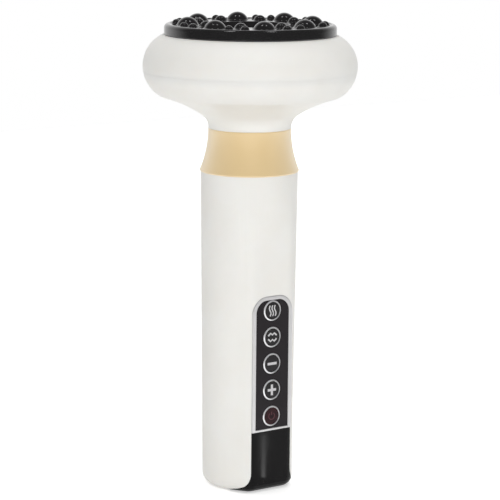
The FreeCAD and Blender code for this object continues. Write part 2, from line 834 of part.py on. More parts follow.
def make_power():
    shoulder = cell_top - s.cell_nub_height
    cell = turned("cell", [
        (0, s.cell_bottom), (s.cell_radius, s.cell_bottom), (s.cell_radius, shoulder),
        (s.cell_nub_radius, shoulder), (s.cell_nub_radius, cell_top), (0, cell_top)])
    node("battery_cell", place(cell, y=cell_setback))
    contacts = [
        cylinder("lower_contact", s.contact_radius, s.contact_thickness, y=cell_setback,
                 z=s.cell_bottom - s.contact_thickness),
        cylinder("upper_contact", s.contact_radius, s.contact_thickness, y=cell_setback, z=cell_top)]
    node("battery_contacts", group("contacts", *contacts))

    half_width, half_height = s.socket_width / 2, s.socket_height / 2
    shell = extruded("socket_shell", "XY_Plane", *stadium(half_width, half_height, s.socket_setback),
                     s.socket_recess, s.socket_length)
    throat = extruded("socket_throat", "XY_Plane",
                      *stadium(half_width - s.socket_wall, half_height - s.socket_wall, s.socket_setback),
                      s.socket_recess - s.socket_wall, s.socket_length + 2 * s.socket_wall)
    node("charge_socket", cut("socket", shell, throat))
    gap = s.socket_wall + s.thread_gap
    socket_top = s.socket_recess + s.socket_length
    plug_length = s.socket_length - s.tongue_length - s.socket_recess
    plug = extruded("tongue_root", "XY_Plane",
                    *stadium(half_width - gap, half_height - gap, s.socket_setback),
                    socket_top - plug_length, plug_length)
    tongue_half, leaf_half = s.tongue_width / 2, s.tongue_thickness / 2
    leaf = block("tongue_leaf", (-tongue_half, tongue_half),
                 (s.socket_setback - leaf_half, s.socket_setback + leaf_half),
                 (socket_top - plug_length - s.tongue_length, socket_top - plug_length / 2))
    node("socket_tongue", fuse("tongue", plug, leaf))
    board_half = s.charge_board_width / 2
    board_y = s.socket_setback + half_height
    node("charge_board", block("charge_plate", (-board_half, board_half),
                               (board_y, board_y + s.charge_board_thickness),
                               (s.floor_thickness, s.floor_thickness + s.charge_board_height)))


def make_collar():
    foot_radius = s.collar_foot_radius
    foot_round = s.collar_foot_round
    collar = turned("collar", [
        (fit_radius, s.handle_length), (foot_radius - foot_round, s.handle_length),
        (foot_radius, s.handle_length + foot_round), (s.neck_radius, collar_top),
        (fit_radius, collar_top)],
        {1: (foot_round, True), 2: (s.collar_sweep_radius, False)})
    node("neck_collar", collar)
    nut_top = s.handle_length - s.top_plate_thickness
    nut_bore = s.spigot_radius + s.fit_gap / 2
    nut = turned("nut", [
        (nut_bore, nut_top - s.nut_height), (s.nut_radius, nut_top - s.nut_height),
        (s.nut_radius, nut_top), (nut_bore, nut_top)])
    node("neck_nut", nut)


def pillar_places(circle, count, first_angle):
    for number in range(count):
        angle = as_size(first_angle + 360 / count * number)
        yield f"{number + 1}", circle * cosine(angle), circle * sine(angle)


def make_head_shells():
    wall = s.head_wall
    inner_bulge = s.bulge_radius - wall
    inner_shoulder = s.shoulder_radius - wall
    lip = (lip_radius, disc_seat)
    widest = (s.head_radius, equator)
    widest_inside = (s.head_radius - wall, equator)
    seam_outer = bulge_circle + across(s.bulge_radius, s.seam_drop)
    seam_inner = bulge_circle + across(inner_bulge, s.seam_drop)
    ledge_radius = motor_plate_radius + s.fit_gap
    ledge_top = motor_top + s.motor_plate_thickness
    spigot_bottom = s.handle_length - s.spigot_depth
    inner_flare = (flare_end[0] - wall * flare_sine, flare_end[1] + wall * flare_cosine)
    inner_sweep = (sweep_end[0] - wall * slope_sine, sweep_end[1] + wall * slope_cosine)
    inner_bulge_start = (bulge_start[0] - wall * bulge_sine, bulge_start[1] + wall * bulge_cosine)
    under_flange = disc_seat - wall
    roof_inner = shoulder_circle + across(inner_shoulder, s.seat_rise - wall)
    screw_seat = disc_seat - s.screw_head_height - s.fit_gap

    lower_form = turned("lower_form", [
        (0, spigot_bottom), (s.spigot_radius, spigot_bottom), (s.spigot_radius, collar_top),
        (s.neck_radius, collar_top), flare_end, sweep_end, bulge_start, (seam_outer, seam), (0, seam)],
        {3: (s.flare_radius, False), 4: (sweep_radius, False), 5: (s.heel_radius, True),
         6: (s.bulge_radius, True)})
    lower_room = turned("lower_room", [
        (0, spigot_bottom - wall), (s.spigot_lip_radius, spigot_bottom - wall),
        (s.spigot_lip_radius, motor_foot), (s.spigot_bore, motor_foot), (s.spigot_bore, motor_top),
        (ledge_radius, motor_top), (ledge_radius, ledge_top), inner_flare, inner_sweep, inner_bulge_start,
        (seam_inner, seam), (seam_inner, seam + wall), (0, seam + wall)],
        {7: (sweep_radius + wall, False), 8: (s.heel_radius - wall, True), 9: (inner_bulge, True)})
    upper_form = turned("upper_form", [
        (flange_radius, seam), (seam_outer, seam), widest, lip, (flange_radius, disc_seat)],
        {1: (s.bulge_radius, True), 2: (s.shoulder_radius, True)})
    upper_room = turned("upper_room", [
        (flange_radius - wall, seam - wall), (seam_inner, seam - wall), (seam_inner, seam),
        widest_inside, (roof_inner, under_flange), (flange_radius - wall, under_flange)],
        {2: (inner_bulge, True), 3: (inner_shoulder, True)})

    bosses, posts, bores, pilots, screws = [], [], [], [], []
    for name, x, y in pillar_places(pillar_circle, pillar_count, 45):
        bosses.append(cylinder(f"boss_{name}", s.pillar_radius, seam - spigot_bottom, x, y, spigot_bottom))
        posts.append(cylinder(f"post_{name}", s.pillar_radius, disc_seat - seam, x, y, seam))
        bores.append(cylinder(f"post_bore_{name}", s.screw_radius + s.fit_gap, disc_seat - seam + 2 * wall,
                              x, y, seam - wall))
        bores.append(cylinder(f"post_sink_{name}", s.screw_head_radius + s.fit_gap,
                              wall + s.screw_head_height, x, y, screw_seat))
        pilots.append(cylinder(f"boss_pilot_{name}", s.screw_radius + s.thread_gap,
                               s.screw_bite + s.fit_gap + wall, x, y, seam - s.screw_bite - s.fit_gap))
        screw = pan_screw(f"head_{name}", s.screw_radius, s.screw_head_radius, s.screw_head_height,
                          screw_seat - seam + s.screw_bite)
        screws.append(place(screw, x, y, screw_seat))
    for name, x, y in pillar_places(plate_screw_circle, plate_screw_count, 90):
        pilots.append(cylinder(f"plate_pilot_{name}", s.small_screw_radius + s.thread_gap,
                               s.small_bite + s.fit_gap + s.motor_plate_thickness, x, y,
                               motor_top - s.small_bite - s.fit_gap))
    for name, x, y in pillar_places(disc_screw_circle, pillar_count, 0):
        bores.append(cylinder(f"flange_bore_{name}", s.small_screw_radius + s.fit_gap, 3 * wall, x, y,
                              under_flange - wall))
    lower_hollow = cut("lower_hollow", lower_room, *bosses)
    upper_hollow = cut("upper_hollow", upper_room, *posts)
    node("head_lower_shell", cut("lower_shell", lower_form, lower_hollow, *pilots))
    node("head_upper_shell", cut("upper_shell", upper_form, upper_hollow, *bores))
    node("head_screws", group("head_fixings", *screws))


def dome(body, name, circle, angle, radius, height):
    """One dome on the disc's face, turned about its own upright axis."""
    cap_radius = (radius * radius / height + height) / 2
    sketch = draw(body, f"{name}_section", "XZ_Plane", [
        (circle, disc_field - s.dome_sink), (circle + radius, disc_field - s.dome_sink),
        (circle + radius, disc_field), (circle, disc_field + height)],
        {2: (cap_radius, True)})
    sketch.AttachmentOffset = FreeCAD.Placement(Vector(), Rotation(Vector(0, 1, 0), 0))
    sketch.setExpression("AttachmentOffset.Rotation.Angle", as_size(angle).text)
    axis = sketch.addGeometry(Part.LineSegment(Vector(circle.value, 0, 0), Vector(circle.value, 1, 0)), True)
    sketch.addConstraint(Sketcher.Constraint("Vertical", axis))
    hold(sketch, "DistanceX", -1, 1, axis, 1, size=circle)
    return revolve(body, name, sketch, "Axis0")


def polar(body, name, *features):
    pattern = body.newObject("PartDesign::PolarPattern", name)
    pattern.Originals = list(features)
    pattern.Axis = (origin_plane(body, "Z_Axis"), [""])
    pattern.Angle = 360
    pattern.Occurrences = dome_count
    body.Tip = pattern
    doc.recompute()
    return pattern


def make_disc():
    floor = disc_top - s.recess_depth
    floor_back = floor - s.recess_wall
    skin_back = disc_top - s.disc_skin
    rim_top = disc_radius - s.disc_round
    lip_foot = rim_top - s.rim_lip_width
    disc = turned("disc", [
        (0, floor), (recess_radius - s.recess_draft, floor), (recess_radius, disc_field - s.recess_round),
        (recess_radius + s.recess_round, disc_field), (lip_foot - s.field_drop, disc_field),
        (lip_foot, disc_top), (rim_top, disc_top), (disc_radius, disc_top - s.disc_round),
        (disc_radius, disc_seat), (heater_pocket_radius, disc_seat), (heater_pocket_radius, skin_back),
        (cup_radius, skin_back), (cup_radius, floor_back), (0, floor_back)],
        {2: (s.recess_round, False), 6: (s.disc_round, False)})
    doc.recompute()
    half_step = 180 / dome_count
    large = dome(disc, "large_dome", large_dome_circle, half_step, s.large_dome_radius, s.large_dome_height)
    polar(disc, "large_domes", large)
    medium = dome(disc, "medium_dome", medium_dome_circle, 0, s.medium_dome_radius, s.medium_dome_height)
    polar(disc, "medium_domes", medium)
    for side, swing in (("left", s.small_dome_swing), ("right", -s.small_dome_swing)):
        small = dome(disc, f"small_{side}_dome", small_dome_circle, swing, s.small_dome_radius,
                     s.small_dome_height)
        polar(disc, f"small_{side}_domes", small)

    screws, pilots = [], []
    shank = s.head_wall + s.small_bite
    for name, x, y in pillar_places(disc_screw_circle, pillar_count, 0):
        screw = pan_screw(f"disc_{name}", s.small_screw_radius, s.small_head_radius, s.small_head_height,
                          shank)
        screws.append(place(screw, x, y, disc_seat - s.head_wall, Rotation(Vector(1, 0, 0), 180)))
        pilots.append(cylinder(f"disc_pilot_{name}", s.small_screw_radius + s.thread_gap,
                               s.small_bite + 2 * s.fit_gap, x, y, disc_seat - s.fit_gap))
    node("massage_disc", cut("nodule_disc", disc, *pilots))
    node("disc_screws", group("disc_fixings", *screws))

    plate_inner = cup_radius + s.heater_gap
    plate_outer = heater_pocket_radius - s.heater_gap
    plate_back = skin_back - s.heater_thickness
    node("heater_plate", turned("warm_plate", [
        (plate_inner, plate_back), (plate_outer, plate_back), (plate_outer, skin_back),
        (plate_inner, skin_back)]))
    film_inner, film_outer = plate_inner + s.film_margin, plate_outer - s.film_margin
    film_back = plate_back - s.film_thickness
    node("heater_film", turned("film", [
        (film_inner, film_back), (film_outer, film_back), (film_outer, plate_back),
        (film_inner, plate_back)]))
    centre = (film_inner + film_outer) / 2
    half_length, half_width = s.thermostat_length / 2, s.thermostat_width / 2
    node("thermostat", block("thermal_switch", (-half_length, half_length),
                             (centre - half_width, centre + half_width),
                             (film_back - s.thermostat_height, film_back)))


def make_motor():
    bore = s.motor_radius - s.motor_wall
    roof = motor_top - s.motor_roof
    cap_top = motor_foot + s.end_cap_thickness
    shaft_bore = s.shaft_radius + s.running_gap
    node("motor_can", turned("can", [
        (bore, motor_foot), (s.motor_radius, motor_foot), (s.motor_radius, motor_top),
        (s.bush_radius, motor_top), (s.bush_radius, roof), (bore, roof)]))
    node("motor_end_cap", turned("end_cap", [
        (s.bush_radius, motor_foot), (bore, motor_foot), (bore, cap_top), (s.bush_radius, cap_top)]))
    node("motor_top_bush", turned("top_bush", [
        (shaft_bore, motor_top - s.bush_depth), (s.bush_radius, motor_top - s.bush_depth),
        (s.bush_radius, motor_top + s.bush_proud), (shaft_bore, motor_top + s.bush_proud)]))
    node("motor_rear_bush", turned("rear_bush", [
        (shaft_bore, motor_foot), (s.bush_radius, motor_foot), (s.bush_radius, cap_top),
        (shaft_bore, cap_top)]))
    sleeve_inner, sleeve_outer = s.motor_radius + s.sleeve_gap, s.spigot_bore - s.sleeve_gap
    node("motor_sleeve", turned("sleeve", [
        (sleeve_inner, motor_foot), (sleeve_outer, motor_foot), (sleeve_outer, motor_top),
        (sleeve_inner, motor_top)]))

    magnet_inner = bore - s.magnet_thickness
    magnet_bottom, magnet_top = motor_foot + s.magnet_foot, motor_top - s.magnet_head
    magnet_ring = turned("magnet_ring", [
        (magnet_inner, magnet_bottom), (bore, magnet_bottom), (bore, magnet_top),
        (magnet_inner, magnet_top)])
    slot_half = s.magnet_slot / 2
    magnet_gap = block("magnet_gap", (-slot_half, slot_half), (-s.motor_radius, s.motor_radius),
                       (magnet_bottom, magnet_top))
    node("motor_magnets", cut("magnets", magnet_ring, magnet_gap))

    armature_radius = magnet_inner - s.air_gap
    armature = turned("armature_blank", [
        (s.shaft_radius, magnet_bottom), (armature_radius, magnet_bottom), (armature_radius, magnet_top),
        (s.shaft_radius, magnet_top)])
    slots = []
    for number in range(armature_poles):
        groove = block(f"armature_slot_{number + 1}", (s.armature_core_radius, s.motor_radius),
                       (-s.armature_slot / 2, s.armature_slot / 2), (magnet_bottom, magnet_top))
        turn = FreeCAD.Placement(Vector(), Rotation(Vector(0, 0, 1), 90 + 360 / armature_poles * number))
        carrier = doc.addObject("Part::Compound", f"armature_groove_{number + 1}")
        carrier.Links = [groove]
        carrier.Placement = turn
        slots.append(carrier)
    node("motor_armature", cut("armature", armature, *slots))
    commutator_bottom = cap_top + s.shaft_end_gap
    node("commutator", turned("commutator_drum", [
        (s.shaft_radius, commutator_bottom), (s.commutator_radius, commutator_bottom),
        (s.commutator_radius, commutator_bottom + s.commutator_length),
        (s.shaft_radius, commutator_bottom + s.commutator_length)]))

    weight_bottom = motor_top + s.motor_plate_thickness + s.weight_lift
    weight_top = weight_bottom + s.weight_height
    half_disc = cylinder("weight_half", s.weight_radius, s.weight_height, z=weight_bottom)
    half_disc.Angle = 180
    hub = cylinder("weight_hub", s.weight_hub_radius, s.weight_height, z=weight_bottom)
    shaft_hole = cylinder("weight_bore", s.shaft_radius, s.weight_height + 2 * s.weight_lift,
                          z=weight_bottom - s.weight_lift)
    node("eccentric_weight", cut("weight", fuse("weight_blank", half_disc, hub), shaft_hole))
    node("motor_shaft", cylinder("shaft", s.shaft_radius,
                                 weight_top + s.shaft_stub - motor_foot - s.shaft_end_gap,
                                 z=motor_foot + s.shaft_end_gap))

    plate_bore = s.bush_radius + s.motor_roof
    plate = turned("motor_cover", [
        (plate_bore, motor_top), (motor_plate_radius, motor_top),
        (motor_plate_radius, motor_top + s.motor_plate_thickness),
        (plate_bore, motor_top + s.motor_plate_thickness)])
    bores, screws = [], []
    for name, x, y in pillar_places(plate_screw_circle, plate_screw_count, 90):
        bores.append(cylinder(f"plate_bore_{name}", s.small_screw_radius + s.fit_gap,
                              3 * s.motor_plate_thickness, x, y, motor_top - s.motor_plate_thickness))
        screw = pan_screw(f"plate_{name}", s.small_screw_radius, s.small_head_radius, s.small_head_height,
                          s.motor_plate_thickness + s.small_bite)
        screws.append(place(screw, x, y, motor_top + s.motor_plate_thickness))
    node("motor_plate", cut("motor_cover_plate", plate, *bores))
    node("plate_screws", group("plate_fixings", *screws))


def write_parts():
    doc.recompute()
    failed = [feature.Name for feature in doc.Objects
              if "Invalid" in feature.State or "Error" in feature.State]
    failed += [label for label, feature in nodes.items()
               if feature.Shape.isNull() or not feature.Shape.isValid()]
    if failed:
        raise RuntimeError(f"not built: {failed}")
    os.makedirs("parts", exist_ok=True)
    for label, feature in nodes.items():
        feature.Shape.exportStep(f"parts/{label}.step")
        print(label, len(feature.Shape.Solids), "solids", round(feature.Shape.Volume, 2), "mm3")


make_handle()
make_panel()
make_buttons()
make_board()
make_carrier()
make_power()
make_collar()
make_head_shells()
make_disc()
make_motor()
write_parts()
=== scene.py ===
import json
import math
import bmesh
import bpy
from mathutils import Matrix, Vector


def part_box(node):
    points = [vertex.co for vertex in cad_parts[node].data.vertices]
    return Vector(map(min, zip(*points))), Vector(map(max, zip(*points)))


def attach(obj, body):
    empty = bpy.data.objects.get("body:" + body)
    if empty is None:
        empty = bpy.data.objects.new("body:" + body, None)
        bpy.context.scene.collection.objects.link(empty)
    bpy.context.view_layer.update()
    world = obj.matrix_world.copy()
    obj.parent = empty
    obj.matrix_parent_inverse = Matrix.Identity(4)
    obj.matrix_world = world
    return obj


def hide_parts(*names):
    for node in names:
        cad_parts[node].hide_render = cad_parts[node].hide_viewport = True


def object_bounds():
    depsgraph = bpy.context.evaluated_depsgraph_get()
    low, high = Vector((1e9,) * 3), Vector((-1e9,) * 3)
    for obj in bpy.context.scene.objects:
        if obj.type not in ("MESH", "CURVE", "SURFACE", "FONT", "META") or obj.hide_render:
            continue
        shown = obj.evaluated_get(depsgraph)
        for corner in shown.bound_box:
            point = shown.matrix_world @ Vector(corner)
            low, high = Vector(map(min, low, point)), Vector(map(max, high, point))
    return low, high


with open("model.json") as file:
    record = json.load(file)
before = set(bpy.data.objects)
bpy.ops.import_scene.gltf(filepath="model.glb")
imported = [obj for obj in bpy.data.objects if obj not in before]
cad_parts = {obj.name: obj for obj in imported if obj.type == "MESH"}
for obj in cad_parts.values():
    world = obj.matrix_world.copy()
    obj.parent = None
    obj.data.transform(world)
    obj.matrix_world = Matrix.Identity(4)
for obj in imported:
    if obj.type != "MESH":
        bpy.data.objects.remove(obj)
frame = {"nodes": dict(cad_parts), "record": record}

cadBox = [list(corner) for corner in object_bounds()]
mm = 0.001
nodes = frame["nodes"]
slotOf = {part["node"]: part["material_slot"] for part in frame["record"]["subparts"]}
keyNames = ("power", "plus", "minus", "mode", "heat")


def toLinear(hexColour):
    channels = [int(hexColour[i:i + 2], 16) / 255 for i in (1, 3, 5)]
    return tuple(c / 12.92 if c <= 0.04045 else ((c + 0.055) / 1.055) ** 2.4 for c in channels) + (1.0,)


# Materials

def addNode(tree, kind, settings=None, links=None):
    node = tree.nodes.new(kind)
    for key, value in (settings or {}).items():
        if key in node.inputs:
            node.inputs[key].default_value = value
        else:
            setattr(node, key, value)
    for key, source in (links or {}).items():
        tree.links.new(source, node.inputs[key])
    return node


def newMaterial(name, settings):
    material = bpy.data.materials.new(name)
    material.use_nodes = True
    tree = material.node_tree
    shader = tree.nodes["Principled BSDF"]
    for key, value in settings.items():
        shader.inputs[key].default_value = value
    where = addNode(tree, "ShaderNodeTexCoord").outputs["Object"]
    return material, tree, shader, where


def mottle(tree, shader, where, patch, pale, deep, lows=0.35, highs=0.65):
    # two near shades in soft patches, so that a plain moulding isn't one flat colour
    noise = addNode(tree, "ShaderNodeTexNoise", {"Scale": 1 / patch, "Detail": 3.0}, {"Vector": where})
    ramp = addNode(tree, "ShaderNodeValToRGB", {}, {"Fac": noise.outputs["Fac"]})
    ramp.color_ramp.elements[0].position = lows
    ramp.color_ramp.elements[1].position = highs
    ramp.color_ramp.elements[0].color = toLinear(deep)
    ramp.color_ramp.elements[1].color = toLinear(pale)
    tree.links.new(ramp.outputs["Color"], shader.inputs["Base Color"])


def grainBump(tree, shader, where, grain, depth, stretch=(1, 1, 1)):
    # a fine relief of that grain width and depth, both real sizes
    mapping = addNode(tree, "ShaderNodeMapping", {"Scale": stretch}, {"Vector": where})
    noise = addNode(tree, "ShaderNodeTexNoise", {"Scale": 1 / grain, "Detail": 2.0},
                    {"Vector": mapping.outputs["Vector"]})
    bump = addNode(tree, "ShaderNodeBump", {"Strength": 1.0, "Distance": depth},
                   {"Height": noise.outputs["Fac"]})
    tree.links.new(bump.outputs["Normal"], shader.inputs["Normal"])


def roughSpread(tree, shader, where, patch, low, high):
    # handling leaves the gloss a little uneven
    noise = addNode(tree, "ShaderNodeTexNoise", {"Scale": 1 / patch, "Detail": 4.0}, {"Vector": where})
    spread = addNode(tree, "ShaderNodeMapRange", {"To Min": low, "To Max": high},
                     {"Value": noise.outputs["Fac"]})
    tree.links.new(spread.outputs["Result"], shader.inputs["Roughness"])


def ivoryAbs():
    # moulded ABS with a spark-eroded tool finish: warm white, a soft sheen, faint orange peel
    material, tree, shader, where = newMaterial("ivoryAbs", {
        "IOR": 1.53, "Subsurface Weight": 0.12, "Subsurface Scale": 1.0 * mm,
        "Subsurface Radius": (1.0, 0.8, 0.6)})
    mottle(tree, shader, where, 22 * mm, "#f1f0ec", "#eeece7")
    roughSpread(tree, shader, where, 9 * mm, 0.40, 0.50)
    grainBump(tree, shader, where, 0.7 * mm, 0.004 * mm)
    return material


def champagneLacquer():
    # satin metal-flake lacquer on plastic: a flat pale gold, paler where it turns away
    material, tree, shader, where = newMaterial("champagneLacquer", {
        "Sheen Weight": 1.0, "Sheen Roughness": 0.8, "Sheen Tint": toLinear("#fff6e4"),
        "Coat Weight": 1.0, "Coat IOR": 2.6, "Coat Roughness": 0.4})
    mottle(tree, shader, where, 15 * mm, "#edc778", "#ebc473")
    roughSpread(tree, shader, where, 2.5 * mm, 0.42, 0.50)
    grainBump(tree, shader, where, 0.35 * mm, 0.003 * mm)    # real flake is finer, too fine to show
    return material


def satinPlating():
    # satin chrome on plastic: neutral silver with a blurred reflection
    material, tree, shader, where = newMaterial("satinPlating", {"Metallic": 0.5})
    mottle(tree, shader, where, 6 * mm, "#d0cfd0", "#cac9ca")
    roughSpread(tree, shader, where, 1.5 * mm, 0.30, 0.40)
    grainBump(tree, shader, where, 0.25 * mm, 0.001 * mm)
    return material


def brightPlating():
    # chrome on plastic, dulled by cleaning: soft light and dark round each ring
    material, tree, shader, where = newMaterial("brightPlating", {"Metallic": 0.6})
    mottle(tree, shader, where, 3 * mm, "#f5f5f7", "#ebebed")
    roughSpread(tree, shader, where, 0.8 * mm, 0.26, 0.34)
    return material


def panelAcrylic():
    # screen-printed acrylic: near black, a hard-coated face with a soft gloss
    material, tree, shader, where = newMaterial("panelAcrylic", {"IOR": 1.49, "Specular IOR Level": 0.2})
    mottle(tree, shader, where, 8 * mm, "#1e191d", "#191418")
    roughSpread(tree, shader, where, 5 * mm, 0.28, 0.36)
    grainBump(tree, shader, where, 0.3 * mm, 0.002 * mm)
    return material


def pianoAbs():
    # polished black ABS: deep and glossy, with the slightest ripple from moulding
    material, tree, shader, where = newMaterial("pianoAbs", {"IOR": 1.5, "Specular IOR Level": 0.11})
    mottle(tree, shader, where, 14 * mm, "#100f10", "#0d0c0d")
    roughSpread(tree, shader, where, 7 * mm, 0.08, 0.12)
    grainBump(tree, shader, where, 2.5 * mm, 0.004 * mm)
    return material


def noduleAbs():
    # polished black ABS worn by skin: mirror-like on the domes, a trace of haze between them
    material, tree, shader, where = newMaterial("noduleAbs", {"IOR": 1.52, "Specular IOR Level": 0.9})
    mottle(tree, shader, where, 10 * mm, "#181718", "#141314")
    roughSpread(tree, shader, where, 4 * mm, 0.07, 0.13)
    grainBump(tree, shader, where, 1.8 * mm, 0.003 * mm)
    return material


def keyAcrylic():
    # clear-coated key tops, black from behind
    material, tree, shader, where = newMaterial("keyAcrylic", {"IOR": 1.49, "Specular IOR Level": 0.25})
    mottle(tree, shader, where, 3 * mm, "#1f1c1e", "#1a181a")
    roughSpread(tree, shader, where, 2 * mm, 0.26, 0.34)
    return material


def smokyRedAcrylic():
    # dark red tinted acrylic over an unlit lamp: almost black, red where light gets through
    material, tree, shader, where = newMaterial("smokyRedAcrylic", {"IOR": 1.49, "Specular IOR Level": 0.15})
    mottle(tree, shader, where, 1.6 * mm, "#361a1e", "#220f14", 0.3, 0.7)
    roughSpread(tree, shader, where, 2 * mm, 0.26, 0.34)
    return material


def signInk():
    # pale grey pad-printed ink: matt, with a slightly uneven coat
    material, tree, shader, where = newMaterial("signInk", {"Roughness": 0.6})
    mottle(tree, shader, where, 0.5 * mm, "#d6d5d6", "#c4c2c5")
    return material


def redSignInk():
    # translucent red ink: a little brighter than the key under it
    material, tree, shader, where = newMaterial("redSignInk", {"Roughness": 0.5})
    mottle(tree, shader, where, 0.5 * mm, "#52202a", "#451b24")
    return material


glossSpread = 0.06    # how far the inner pieces' roughness strays to either side


def mouldedPlastic(name, pale, deep, roughness, grain):
    # plain moulded or sheet plastic of the inner pieces: even, faintly textured
    material, tree, shader, where = newMaterial(name, {"IOR": 1.5})
    mottle(tree, shader, where, 5 * mm, pale, deep)
    roughSpread(tree, shader, where, 3 * mm, roughness - glossSpread, roughness + glossSpread)
    grainBump(tree, shader, where, grain, 0.004 * mm)
    return material


def workedMetal(name, pale, deep, roughness, stretch):
    # drawn, turned or sintered metal of the inner pieces: the tool marks run one way
    material, tree, shader, where = newMaterial(name, {"Metallic": 1.0})
    mottle(tree, shader, where, 4 * mm, pale, deep)
    roughSpread(tree, shader, where, 2 * mm, roughness - glossSpread, roughness + glossSpread)
    grainBump(tree, shader, where, 0.3 * mm, 0.003 * mm, stretch=stretch)
    return material


print("materials")
finishes = {
    "shell_white": ivoryAbs(),
    "collar_gold": champagneLacquer(),
    "trim_silver": satinPlating(),
    "panel_black": panelAcrylic(),
    "chin_black": pianoAbs(),
    "key_black": keyAcrylic(),
    "key_red": smokyRedAcrylic(),
    "ring_chrome": brightPlating(),
    "disc_black": noduleAbs(),
    "steel": workedMetal("zincSteel", "#c4c6c9", "#aeb0b4", 0.32, (1, 1, 4)),
    "inner_plastic": mouldedPlastic("carrierAbs", "#4b4c4f", "#434447", 0.5, 0.6 * mm),
    "board_green": mouldedPlastic("solderMask", "#2f6e49", "#27613f", 0.35, 0.4 * mm),
    "switch_plastic": mouldedPlastic("switchNylon", "#302f31", "#29282a", 0.5, 0.4 * mm),
    "lamp_lens": mouldedPlastic("lampEpoxy", "#d8584f", "#c9463e", 0.2, 0.5 * mm),
    "cell_wrap": mouldedPlastic("shrinkSleeve", "#4a6fae", "#4066a5", 0.3, 0.8 * mm),
    "nickel": workedMetal("nickelSheet", "#cfcbc2", "#bfbbb2", 0.25, (4, 1, 1)),
    "heater_alu": workedMetal("rolledAluminium", "#d9dadc", "#c9cacc", 0.4, (6, 1, 1)),
    "heater_amber": mouldedPlastic("polyimideFilm", "#c67a2a", "#b86d20", 0.3, 0.5 * mm),
    "motor_rubber": mouldedPlastic("siliconeSleeve", "#3b3b3c", "#333334", 0.7, 0.5 * mm),
    "motor_steel": workedMetal("drawnCan", "#b9bbbf", "#a3a5a9", 0.3, (1, 1, 6)),
    "magnet_grey": workedMetal("sinteredFerrite", "#5b5c5f", "#4a4b4e", 0.6, (1, 1, 1)),
    "brass": workedMetal("turnedBrass", "#d9bd7d", "#c9ab68", 0.3, (1, 1, 6)),
    "copper": workedMetal("drawnCopper", "#d99a78", "#c98664", 0.3, (1, 1, 6)),
}
for name, node in nodes.items():
    node.data.materials.clear()
    node.data.materials.append(finishes[slotOf[name]])


# Mesh tools

weld = 0.0001 * mm    # closes the rings of points that meet on an axis


def addPiece(name, points, faces, material, body, slot, replaced=()):
    mesh = bpy.data.meshes.new(name)
    mesh.from_pydata([tuple(p) for p in points], [], faces)
    form = bmesh.new()
    form.from_mesh(mesh)
    bmesh.ops.remove_doubles(form, verts=form.verts, dist=weld)
    form.to_mesh(mesh)
    form.free()
    piece = bpy.data.objects.new(name, mesh)
    bpy.context.scene.collection.objects.link(piece)
    mesh.materials.append(material)
    mesh.shade_smooth()
    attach(piece, body)
    if replaced:
        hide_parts(*replaced)
    return piece


def arc(centreX, centreZ, radius, first, last, steps):
    # points along an arc, angles in degrees
    points = []
    for step in range(steps + 1):
        angle = math.radians(first + (last - first) * step / steps)
        points.append((centreX + radius * math.cos(angle), centreZ + radius * math.sin(angle)))
    return points


def lathe(profile, steps):
    # turns (radius, height) points about Z; the last joins the first, unless both are on the axis
    points = []
    faces = []
    if profile[0][0] > 0:
        profile = profile + profile[:1]
    for radius, height in profile:
        for step in range(steps):
            angle = 2 * math.pi * step / steps
            points.append(Vector((radius * math.cos(angle), radius * math.sin(angle), height)))
    for ring in range(len(profile) - 1):
        for step in range(steps):
            following = (step + 1) % steps
            low, high = ring * steps, (ring + 1) * steps
            faces.append((low + step, low + following, high + following, high + step))
    return points, faces


def walled(profile, wall):
    # goes back along the inside of an open profile at that distance, so that the form has a thickness
    inside = []
    for number in range(len(profile)):
        before = Vector(profile[max(number - 1, 0)])
        after = Vector(profile[min(number + 1, len(profile) - 1)])
        along = (after - before).normalized()
        inside.append((profile[number][0] - along.y * wall, profile[number][1] + along.x * wall))
    return profile + inside[::-1]


def joined(parts):
    points = []
    faces = []
    for morePoints, moreFaces in parts:
        offset = len(points)
        points.extend(morePoints)
        faces.extend(tuple(i + offset for i in face) for face in moreFaces)
    return points, faces


def moved(part, matrix):
    points, faces = part
    return [matrix @ p for p in points], faces


def smoothByAngle(piece, degrees):
    # smooth shading, with edges kept where the faces turn by more than that
    bpy.context.view_layer.objects.active = piece
    piece.select_set(True)
    bpy.ops.object.shade_smooth_by_angle(angle=math.radians(degrees))
    piece.select_set(False)


faceFront = Matrix.Rotation(math.radians(90), 4, "X")    # local +Z turns to the panel's side, -Y

# Head: two mouldings that meet at a fine seam

head = {
    "bulge": 14.65 * mm,
    "bulgeAngle": 36.0,    # this and the other angles are in degrees
    "shoulder": 14.4 * mm,
    "heel": 5.5 * mm,
    "slope": 15.4,
    "flare": 7.0 * mm,
    "flareAngle": 33.4,
    "neck": 17.6 * mm,
    "seamEdge": 0.03 * mm,
    "seamLead": 0.0105 * mm,
    "seamDrop": 0.009 * mm,
    "seamDepth": 0.048 * mm,
    "seamSupport": 5,    # how many edge widths the close pair of rings takes up
    "lipEase": 2.0,    # degrees
    "lipRound": 0.5 * mm,
    "lipWidth": 6.0 * mm,
    "wall": 2.0 * mm,
    "steps": 192,
    "arcSteps": {"flare": 14, "sweep": 14, "heel": 8, "bulge": 24, "crown": 6, "shoulder": 28},
}


def slopeArc(start, radius, first, last, steps):
    # on from a point, the slope turning from one angle to another; a hollow curve where it falls
    side = 1 if last > first else -1
    centreX = start[0] - side * radius * math.sin(math.radians(first))
    centreZ = start[1] + side * radius * math.cos(math.radians(first))
    return arc(centreX, centreZ, radius, first - side * 90, last - side * 90, steps)[1:]


